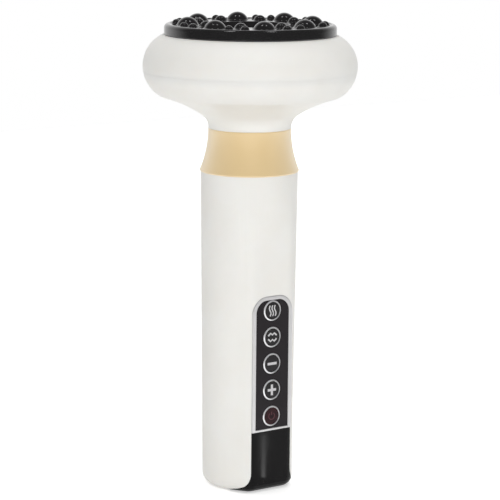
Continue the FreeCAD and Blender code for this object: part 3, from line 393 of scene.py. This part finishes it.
def underside(widest, collarTop):
    # from the neck: flare, long sweep and tight heel, up to where the bulge begins
    sines = {name: math.sin(math.radians(head[name])) for name in ("bulgeAngle", "slope", "flareAngle")}
    arcSteps = head["arcSteps"]
    heelEnd = widest - head["bulge"] * (1 - sines["bulgeAngle"])
    sweepEnd = heelEnd - head["heel"] * (sines["bulgeAngle"] - sines["slope"])
    profile = [(head["neck"], collarTop)]
    profile += slopeArc(profile[-1], head["flare"], 90, head["flareAngle"], arcSteps["flare"])
    sweep = (sweepEnd - profile[-1][0]) / (sines["flareAngle"] - sines["slope"])
    profile += slopeArc(profile[-1], sweep, head["flareAngle"], head["slope"], arcSteps["sweep"])
    profile += slopeArc(profile[-1], head["heel"], head["slope"], head["bulgeAngle"], arcSteps["heel"])
    equator = profile[-1][1] + head["bulge"] * math.cos(math.radians(head["bulgeAngle"]))
    return profile, equator


def headShells():
    upperLow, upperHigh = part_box("head_upper_shell")
    seam, seat = upperLow.z, upperHigh.z
    widest = upperHigh.x
    lower, equator = underside(widest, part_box("neck_collar")[1].z)
    bulge, shoulder, arcSteps = head["bulge"], head["shoulder"], head["arcSteps"]
    seamAngle = math.degrees(math.asin((seam - equator) / bulge))
    lipAngle = math.degrees(math.asin((seat - equator) / shoulder))
    edgeTurn = math.degrees(head["seamEdge"] / bulge)
    nearSeam = head["seamSupport"] * edgeTurn    # the close pair keeps the shading even up to the edge
    lead, drop, depth = head["seamLead"], head["seamDrop"], head["seamDepth"]

    lower += arc(widest - bulge, equator, bulge, head["bulgeAngle"] - 90, seamAngle - nearSeam,
                 arcSteps["bulge"])[1:]
    lower += arc(widest - bulge, equator, bulge, seamAngle - nearSeam, seamAngle - edgeTurn, 1)[1:]
    tipRadius = lower[-1][0]
    lower += [(tipRadius - lead, seam - drop), (tipRadius - depth, seam)]
    lower = walled(lower, head["wall"])
    addPiece("headUnderside", *lathe(lower, head["steps"]), finishes["shell_white"], "housing",
             "shell_white", ["head_lower_shell"])

    upper = arc(widest - bulge, equator, bulge, seamAngle + edgeTurn, seamAngle + nearSeam, 1)
    upper += arc(widest - bulge, equator, bulge, seamAngle + nearSeam, 0, arcSteps["crown"])[1:]
    upper += arc(widest - shoulder, equator, shoulder, 0, lipAngle - head["lipEase"],
                 arcSteps["shoulder"])[1:]
    tipRadius = upper[0][0]
    upper = [(tipRadius - depth, seam), (tipRadius - lead, seam + drop)] + upper
    lipRadius = upper[-1][0]
    upper += [(lipRadius - head["lipRound"], seat), (lipRadius - head["lipWidth"], seat)]
    upper = walled(upper, head["wall"])
    addPiece("headTop", *lathe(upper, head["steps"]), finishes["shell_white"], "housing",
             "shell_white", ["head_upper_shell"])


# Collar: a waisted sleeve with eased ends

collar = {
    "neck": 17.6 * mm,
    "sweep": 46.0 * mm,
    "footRound": 0.6 * mm,
    "topRound": 0.25 * mm,
    "topEase": 0.02 * mm,
    "bore": 15.7 * mm,
    "steps": 160,
    "arcSteps": {"foot": 6, "sweep": 24},
}


def neckCollar():
    low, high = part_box("neck_collar")
    foot = (high.x, low.z + collar["footRound"])
    top = (collar["neck"], high.z)
    chord = Vector((top[0] - foot[0], top[1] - foot[1]))
    lift = math.sqrt(collar["sweep"] ** 2 - chord.length_squared / 4)
    right = Vector((chord.y, -chord.x)).normalized()
    centre = Vector(((foot[0] + top[0]) / 2, (foot[1] + top[1]) / 2)) + right * lift
    angles = [math.degrees(math.atan2(z - centre.y, x - centre.x)) % 360 for x, z in (foot, top)]
    footRound, topRound, arcSteps = collar["footRound"], collar["topRound"], collar["arcSteps"]
    profile = [(collar["bore"], low.z), (high.x - footRound, low.z)]
    profile += arc(high.x - footRound, foot[1], footRound, -90, 0, arcSteps["foot"])[1:]
    profile += arc(centre.x, centre.y, collar["sweep"], angles[0], angles[1], arcSteps["sweep"])[1:-1]
    profile += [(top[0] + collar["topEase"], top[1] - topRound), (top[0] - topRound, top[1])]
    profile += [(collar["bore"], high.z)]
    addPiece("neckCollar", *lathe(profile, collar["steps"]), finishes["collar_gold"], "housing",
             "collar_gold", ["neck_collar"])


# Nodule disc: a rimmed dish with domes in three sizes round a deep middle

disc = {
    "rimRound": 1.8 * mm,
    "rimWidth": 2.5 * mm,
    "rimStep": 0.35 * mm,
    "rimFoot": 0.3 * mm,
    "seatRise": 0.5 * mm,
    "seatRound": 0.4 * mm,
    "fieldDrop": 0.35 * mm,
    "domeTop": 3.05 * mm,
    "recess": 16.62 * mm,
    "recessFloor": 14.42 * mm,
    "recessDepth": 4.4 * mm,
    "recessRound": 0.7 * mm,
    "floorRound": 0.8 * mm,
    "floorTurn": -20,    # degrees, where the sloping wall begins
    "footRound": 0.9 * mm,
    "skin": 2.45 * mm,
    "cupWall": 1.6 * mm,
    "heaterGap": 0.3 * mm,
    "domeSink": 0.5 * mm,
    "domes": (
        {"count": 8, "ring": 26.82 * mm, "base": 4.7 * mm, "rise": 3.4 * mm, "turn": 22.5},
        {"count": 8, "ring": 22.42 * mm, "base": 2.7 * mm, "rise": 2.3 * mm, "turn": 0},
        {"count": 8, "ring": 31.32 * mm, "base": 1.9 * mm, "rise": 1.85 * mm, "turn": 6.1},
        {"count": 8, "ring": 31.32 * mm, "base": 1.9 * mm, "rise": 1.85 * mm, "turn": -6.1},
    ),
    "steps": 192,
    "domeSteps": 40,
    "arcSteps": {"floor": 6, "lip": 8, "step": 6, "rim": 12, "seat": 5, "foot": 6, "cap": 14},
}


def domeProfile(base, rise, foot, sink):
    # a round cap that runs out into the field through a small hollow at its foot, and sinks into it
    cap = (base * base / rise + rise) / 2
    centre = rise - cap
    reach = math.sqrt((cap + foot) ** 2 - (foot - centre) ** 2)
    meet = math.degrees(math.atan2(foot - centre, reach))
    profile = [(0.0, -sink), (reach, -sink)]
    profile += arc(reach, foot, foot, 270, 180 + meet, disc["arcSteps"]["foot"])
    profile += arc(0, centre, cap, meet, 90, disc["arcSteps"]["cap"])
    return profile[:-1] + [(0.0, rise)]


def noduleDisc():
    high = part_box("massage_disc")[1]
    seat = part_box("head_upper_shell")[1].z
    rim = high.x
    top = high.z - disc["domeTop"]
    field = top - disc["fieldDrop"]
    floor = top - disc["recessDepth"]
    rimInner = rim - disc["rimWidth"]
    floorRound, lip, step = disc["floorRound"], disc["recessRound"], disc["rimStep"]
    rimRound, seatRound, arcSteps = disc["rimRound"], disc["seatRound"], disc["arcSteps"]
    flat = disc["recessFloor"] - floorRound
    profile = [(0.0, floor), (flat, floor)]
    profile += arc(flat, floor + floorRound, floorRound, -90, disc["floorTurn"], arcSteps["floor"])[1:]
    profile += arc(disc["recess"] + lip, field - lip, lip, 180, 90, arcSteps["lip"])
    profile += [(rimInner - disc["rimFoot"], field)]
    profile += arc(rimInner + step, top - step, step, 180, 90, arcSteps["step"])
    profile += arc(rim - rimRound, top - rimRound, rimRound, 90, 0, arcSteps["rim"])
    profile += [(rim, seat + disc["seatRise"])]
    profile += arc(rim - seatRound, seat + seatRound, seatRound, 0, -90, arcSteps["seat"])
    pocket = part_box("heater_plate")[1].x + disc["heaterGap"]
    cup = disc["recess"] + disc["cupWall"]
    profile += [(pocket, seat), (pocket, field - disc["skin"]), (cup, field - disc["skin"])]
    profile += [(cup, floor - disc["cupWall"]), (0.0, floor - disc["cupWall"])]
    parts = [lathe(profile[::-1], disc["steps"])]
    for dome in disc["domes"]:
        shape = lathe(domeProfile(dome["base"], dome["rise"], disc["footRound"], disc["domeSink"]),
                      disc["domeSteps"])
        for number in range(dome["count"]):
            turn = Matrix.Rotation(math.radians(dome["turn"] + 360 / dome["count"] * number), 4, "Z")
            place = turn @ Matrix.Translation((dome["ring"], 0, field))
            parts.append(moved(shape, place))
    addPiece("noduleDisc", *joined(parts), finishes["disc_black"], "housing", "disc_black", ["massage_disc"])


# Trim: a plated frame with eased edges

trim = {
    "corner": 7.0 * mm,
    "width": 1.65 * mm,
    "foot": 0.8 * mm,
    "bevel": 0.35 * mm,
    "proud": 0.15 * mm,
    "lip": 0.12 * mm,
    "lipHalf": 0.02 * mm,
    "bevelDrop": 0.03 * mm,
    "bevelShare": 0.3,
    "innerRound": 0.12 * mm,
    "cornerSteps": 14,
    "sharpAbove": 35,    # degrees between faces
}


def stripPath(half, bottom, top, corner, steps):
    # round the strip from its lower left, over the two round upper corners, to its lower right
    path = [(-half, bottom)]
    path += arc(corner - half, top - corner, corner, 180, 90, steps)
    path += arc(half - corner, top - corner, corner, 90, 0, steps)
    path += [(half, bottom)]
    return path


def panelTrim():
    low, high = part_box("panel_trim")
    half = high.x
    outer = stripPath(half, low.z, high.z, trim["corner"], trim["cornerSteps"])
    inner = stripPath(half - trim["width"], low.z + trim["foot"], high.z - trim["width"],
                      trim["corner"] - trim["width"], trim["cornerSteps"])
    reach = trim["bevel"] / trim["width"]
    innerReach = 1 - trim["innerRound"] / trim["width"]
    lip, flat = trim["lip"] / trim["width"], low.y + trim["proud"]
    section = [(0, high.y), (-lip, flat + trim["lipHalf"]), (-lip, flat - trim["lipHalf"]),
               (trim["bevelShare"] * reach, low.y + trim["bevelDrop"]), (reach, low.y),
               (innerReach, low.y), (1, low.y + trim["innerRound"]), (1, high.y)]
    points = []
    faces = []
    for along, depth in section:
        for (outX, outZ), (inX, inZ) in zip(outer, inner):
            points.append((outX + (inX - outX) * along, depth, outZ + (inZ - outZ) * along))
    count = len(outer)
    for row in range(len(section)):
        for step in range(count):
            following = (step + 1) % count
            here, onward = row * count, (row + 1) % len(section) * count
            faces.append((here + step, onward + step, onward + following, here + following))
    piece = addPiece("panelTrim", points, faces, finishes["trim_silver"], "housing",
                     "trim_silver", ["panel_trim"])
    smoothByAngle(piece, trim["sharpAbove"])


# Keys: slightly domed caps, each in a plated ring

key = {
    "radius": 3.8 * mm,
    "crown": 0.12 * mm,
    "edge": 0.25 * mm,
    "skirt": 1.6 * mm,
    "ringInner": 3.85 * mm,
    "ringOuter": 4.47 * mm,
    "ringDepth": 1.0 * mm,
    "ringBevel": 0.5 * mm,
    "ringRise": 0.38 * mm,
    "ringEdge": 0.05 * mm,
    "ringSharpAbove": 15,    # degrees between faces
    "steps": 72,
    "arcSteps": {"edge": 6, "crown": 10},
}


def keyRings():
    parts = []
    ringFront = -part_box("button_rings")[0].y
    inner, outer, edge = key["ringInner"], key["ringOuter"], key["ringEdge"]
    profile = [(outer, ringFront - key["ringDepth"]), (outer, ringFront - key["ringRise"]),
               (outer - key["ringBevel"], ringFront), (inner + edge, ringFront), (inner, ringFront - edge),
               (inner, ringFront - key["ringDepth"])]
    for name in keyNames:
        low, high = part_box(f"{name}_button")
        place = Matrix.Translation((0, 0, (low.z + high.z) / 2)) @ faceFront
        parts.append(moved(lathe(profile, key["steps"]), place))
    piece = addPiece("keyRings", *joined(parts), finishes["ring_chrome"], "housing",
                     "ring_chrome", ["button_rings"])
    smoothByAngle(piece, key["ringSharpAbove"])


def keyCap(name):
    low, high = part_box(f"{name}_button")
    front = -low.y
    slot = slotOf[f"{name}_button"]
    crownRadius = (key["radius"] ** 2 / key["crown"] + key["crown"]) / 2
    rim = key["radius"] - key["edge"]
    crownAngle = math.degrees(math.acos(rim / crownRadius))
    crownDrop = crownRadius - math.sqrt(crownRadius ** 2 - rim ** 2)
    profile = [(0.0, front - key["skirt"]), (key["radius"], front - key["skirt"])]
    profile += arc(rim, front - crownDrop - key["edge"], key["edge"], 0, crownAngle, key["arcSteps"]["edge"])
    profile += arc(0, front - crownRadius, crownRadius, crownAngle, 90, key["arcSteps"]["crown"])[1:-1]
    profile += [(0.0, front)]
    place = Matrix.Translation((0, 0, (low.z + high.z) / 2)) @ faceFront
    addPiece(f"{name}Key", *moved(lathe(profile, key["steps"]), place), finishes[slot],
             f"{name}_key", slot, [f"{name}_button"])


# Signs: thin printed marks on the caps

sign = {
    "lift": 0.02 * mm,
    "thick": 0.03 * mm,
    "waveStroke": 0.55 * mm,
    "wavePitch": 1.3 * mm,
    "waveSwing": 0.4 * mm,
    "waveHeight": 4.6 * mm,
    "waveSteps": 24,
    "zigzagStroke": 0.72 * mm,
    "zigzag": ((-2.15, 0.7), (-0.95, 1.75), (0, 1.0), (0.95, 1.75), (2.15, 0.7)),    # in mm
    "barStroke": 1.1 * mm,
    "barReach": 2.35 * mm,
    "plusReach": 2.15 * mm,
    "powerStroke": 0.4 * mm,
    "powerRadius": 1.5 * mm,
    "powerArc": (125, 415),    # degrees
    "powerSteps": 28,
    "powerUpright": (0.5 * mm, 1.9 * mm),
}


def stroke(points, width):
    # a flat band of that width along (x, z) points
    half = width / 2
    left = []
    right = []
    for number, point in enumerate(points):
        before = Vector(points[max(number - 1, 0)])
        after = Vector(points[min(number + 1, len(points) - 1)])
        along = (after - before).normalized()
        side = Vector((-along.y, along.x)) * half
        left.append(Vector(point) + side)
        right.append(Vector(point) - side)
    return left + right[::-1]


def signSurface(outlines, name):
    low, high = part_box(f"{name}_button")
    middle = (low.z + high.z) / 2
    front = low.y - sign["lift"]
    back = front + sign["thick"] + key["crown"]
    parts = []
    for outline in outlines:
        count = len(outline) // 2
        points = [Vector((p.x, front, middle + p.y)) for p in outline]
        points += [Vector((p.x, back, middle + p.y)) for p in outline]
        size = len(outline)
        faces = [(size - 1 - i, size - 2 - i, i + 1, i) for i in range(count - 1)]
        faces += [(size + i, size + i + 1, size * 2 - 2 - i, size * 2 - 1 - i) for i in range(count - 1)]
        faces += [((i + 1) % size, size + (i + 1) % size, size + i, i) for i in range(size)]
        parts.append((points, faces))
    return joined(parts)


def heatSign():
    # three rising waves
    waves = []
    for across in (-sign["wavePitch"], 0, sign["wavePitch"]):
        line = []
        for step in range(sign["waveSteps"] + 1):
            rise = step / sign["waveSteps"]
            swing = sign["waveSwing"] * math.sin(rise * 2 * math.pi)
            line.append((across + swing, (rise - 0.5) * sign["waveHeight"]))
        waves.append(stroke(line, sign["waveStroke"]))
    return waves


def modeSign():
    # two mirrored zigzags
    lines = []
    for side in (1, -1):
        corners = [(x * mm, side * z * mm) for x, z in sign["zigzag"]]
        lines.append(stroke(corners, sign["zigzagStroke"]))
    return lines


def minusSign():
    return [stroke([(-sign["barReach"], 0), (sign["barReach"], 0)], sign["barStroke"])]


def plusSign():
    # an upright and the two halves of the bar that it leaves
    width = sign["barStroke"]
    upright = stroke([(0, -sign["barReach"]), (0, sign["barReach"])], width)
    bars = [stroke([(side * width / 2, 0), (side * sign["plusReach"], 0)], width) for side in (1, -1)]
    return [upright] + bars


def powerSign():
    # an open circle with an upright stroke
    circle = arc(0, 0, sign["powerRadius"], *sign["powerArc"], sign["powerSteps"])
    upright = [(0, height) for height in sign["powerUpright"]]
    return [stroke(circle, sign["powerStroke"]), stroke(upright, sign["powerStroke"])]


def keySigns():
    signs = {"heat": heatSign, "mode": modeSign, "minus": minusSign, "plus": plusSign, "power": powerSign}
    inks = {"pale": signInk(), "red": redSignInk()}
    for name, drawSign in signs.items():
        ink = inks["red" if name == "power" else "pale"]
        piece = addPiece(f"{name}Sign", *signSurface(drawSign(), name), ink, f"{name}_key",
                         slotOf[f"{name}_button"])
        piece.data.shade_flat()


print("head, collar and disc")
headShells()
neckCollar()
noduleDisc()
print("panel and keys")
panelTrim()
keyRings()
for name in keyNames:
    keyCap(name)
keySigns()
cadSharpAbove = 30    # degrees between faces
for name in ("handle_shell", "base_cover", "control_panel"):
    smoothByAngle(nodes[name], cadSharpAbove)


# Studio

studio = {
    "floorSize": 2.2,
    "floor": "#fbfbfa",
    "floorDeep": "#f9f9f8",
    "floorPatch": 400 * mm,
    "floorGlow": 0.45,
    "fill": 0.52,
    "bright": (0.44, 0.89, -0.35),    # towards the white wall that mirrors see
    "brightRange": (0.1, 0.8),
    "gloom": 0.12,
    "lamps": (
        {"name": "key", "at": (-0.82, -1.38, 0.5), "size": 1.0, "power": 9.8, "mirrored": False},
        {"name": "top", "at": (0.1, -0.1, 1.7), "size": 1.4, "power": 5.7, "mirrored": False},
        {"name": "back", "at": (0.75, 1.1, 0.8), "size": 1.0, "power": 3.5, "mirrored": False},
        {"name": "sparkLeft", "at": (-0.30, 0.11, 1.35), "size": 0.15, "power": 0.45, "mirrored": True},
        {"name": "sparkRight", "at": (0.21, -0.25, 1.35), "size": 0.15, "power": 0.45, "mirrored": True},
    ),
    "strip": {"near": (7 * mm, -34 * mm), "far": (49 * mm, -93.5 * mm), "lift": 1 * mm,
              "width": 1.6 * mm, "power": 0.0026},
}


def whereSeen(tree):
    # 1 on rays that show the backdrop: to the camera, in a mirror or through glass
    path = addNode(tree, "ShaderNodeLightPath")
    seen = addNode(tree, "ShaderNodeMath", {"operation": "MAXIMUM"})
    tree.links.new(path.outputs["Is Camera Ray"], seen.inputs[0])
    tree.links.new(path.outputs["Is Glossy Ray"], seen.inputs[1])
    seenToo = addNode(tree, "ShaderNodeMath", {"operation": "MAXIMUM"})
    tree.links.new(seen.outputs["Value"], seenToo.inputs[0])
    tree.links.new(path.outputs["Is Transmission Ray"], seenToo.inputs[1])
    return path, seenToo.outputs["Value"]


def floorSheet():
    half = studio["floorSize"] / 2
    mesh = bpy.data.meshes.new("floor")
    corners = [(-half, -half, 0), (half, -half, 0), (half, half, 0), (-half, half, 0)]
    mesh.from_pydata(corners, [], [(0, 1, 2, 3)])
    floor = bpy.data.objects.new("floor", mesh)
    bpy.context.scene.collection.objects.link(floor)
    # matt paper sweep: near white and even, a little shadow under the object
    material, tree, shader, where = newMaterial("studioPaper", {
        "Roughness": 0.9, "Emission Color": (1, 1, 1, 1)})
    mottle(tree, shader, where, studio["floorPatch"], studio["floor"], studio["floorDeep"])
    seen = whereSeen(tree)[1]
    glow = addNode(tree, "ShaderNodeMapRange", {"To Max": studio["floorGlow"]}, {"Value": seen})
    tree.links.new(glow.outputs["Result"], shader.inputs["Emission Strength"])
    mesh.materials.append(material)


def softWorld():
    # even fill; mirrors see a dim room with a white wall behind the object
    world = bpy.data.worlds.new("softRoom")
    bpy.context.scene.world = world
    world.use_nodes = True
    tree = world.node_tree
    tree.nodes.clear()
    path, seen = whereSeen(tree)
    ray = addNode(tree, "ShaderNodeTexCoord").outputs["Generated"]
    facing = addNode(tree, "ShaderNodeVectorMath", {"operation": "DOT_PRODUCT"})
    tree.links.new(ray, facing.inputs[0])
    facing.inputs[1].default_value = Vector(studio["bright"]).normalized()
    rangeMin, rangeMax = studio["brightRange"]
    wall = addNode(tree, "ShaderNodeMapRange", {
        "interpolation_type": "SMOOTHSTEP", "From Min": rangeMin, "From Max": rangeMax,
        "To Min": studio["gloom"], "To Max": 1.0}, {"Value": facing.outputs["Value"]})
    strength = addNode(tree, "ShaderNodeMix", {}, {"Factor": seen})
    strength.inputs["A"].default_value = studio["fill"]
    tree.links.new(wall.outputs["Result"], strength.inputs["B"])
    direct = addNode(tree, "ShaderNodeMath", {"operation": "MAXIMUM"})
    tree.links.new(strength.outputs["Result"], direct.inputs[0])
    tree.links.new(path.outputs["Is Camera Ray"], direct.inputs[1])
    room = addNode(tree, "ShaderNodeBackground", {"Color": (1, 1, 1, 1)},
                   {"Strength": direct.outputs["Value"]})
    addNode(tree, "ShaderNodeOutputWorld", {}, {"Surface": room.outputs["Background"]})


def lamps():
    aim = Vector((0, 0, cadBox[1][2] / 2))
    for lamp in studio["lamps"]:
        light = bpy.data.lights.new(lamp["name"], "AREA")
        light.shape = "SQUARE"
        light.size = lamp["size"]
        light.energy = lamp["power"]
        holder = bpy.data.objects.new(lamp["name"], light)
        holder.location = lamp["at"]
        holder.rotation_euler = (aim - holder.location).to_track_quat("-Z", "Y").to_euler()
        holder.visible_glossy = lamp["mirrored"]
        bpy.context.scene.collection.objects.link(holder)


def stripLamp():
    # a low strip in front, out of the picture, that only shows as a streak in the polished foot
    strip = studio["strip"]
    near, far = Vector(strip["near"]), Vector(strip["far"])
    light = bpy.data.lights.new("strip", "AREA")
    light.shape = "RECTANGLE"
    light.size = (far - near).length
    light.size_y = strip["width"]
    light.energy = strip["power"]
    holder = bpy.data.objects.new("strip", light)
    holder.location = ((near + far) / 2).to_3d() + Vector((0, 0, strip["lift"]))
    along = (far - near).normalized().to_3d()
    up = Vector((0, 0, 1))
    holder.rotation_euler = Matrix((along, along.cross(up), -up)).transposed().to_euler()
    holder.visible_camera = False
    holder.visible_diffuse = False
    bpy.context.scene.collection.objects.link(holder)


# Camera: found from the photograph's outline, key centres and rim

view = {
    "azimuth": -34.73,    # degrees, as the roll
    "distance": 0.9227,
    "height": 0.2716,
    "aimAside": 0.00057,
    "aimHeight": 0.1024,
    "roll": 0.479,
    "focalPixels": 2189.8,
    "imagePixels": 500,
    "clipStart": 0.01,
}


def photoCamera():
    azimuth = math.radians(view["azimuth"])
    aside = Vector((math.cos(azimuth), math.sin(azimuth), 0))
    place = Vector((math.sin(azimuth), -math.cos(azimuth), 0)) * view["distance"]
    place.z = view["height"]
    aim = aside * view["aimAside"] + Vector((0, 0, view["aimHeight"]))
    forward = (aim - place).normalized()
    right = forward.cross(Vector((0, 0, 1))).normalized()
    up = right.cross(forward)
    roll = math.radians(view["roll"])
    right, up = right * math.cos(roll) + up * math.sin(roll), up * math.cos(roll) - right * math.sin(roll)
    lens = bpy.data.cameras.new("photoCamera")
    lens.sensor_fit = "HORIZONTAL"
    lens.angle = 2 * math.atan(view["imagePixels"] / 2 / view["focalPixels"])
    lens.clip_start = view["clipStart"]
    holder = bpy.data.objects.new("photoCamera", lens)
    axes = Matrix((right, up, -forward)).transposed().to_4x4()
    holder.matrix_world = Matrix.Translation(place) @ axes
    bpy.context.scene.collection.objects.link(holder)
    bpy.context.scene.camera = holder


print("studio")
floorSheet()
softWorld()
lamps()
stripLamp()
photoCamera()
bpy.context.scene.view_settings.view_transform = "Standard"
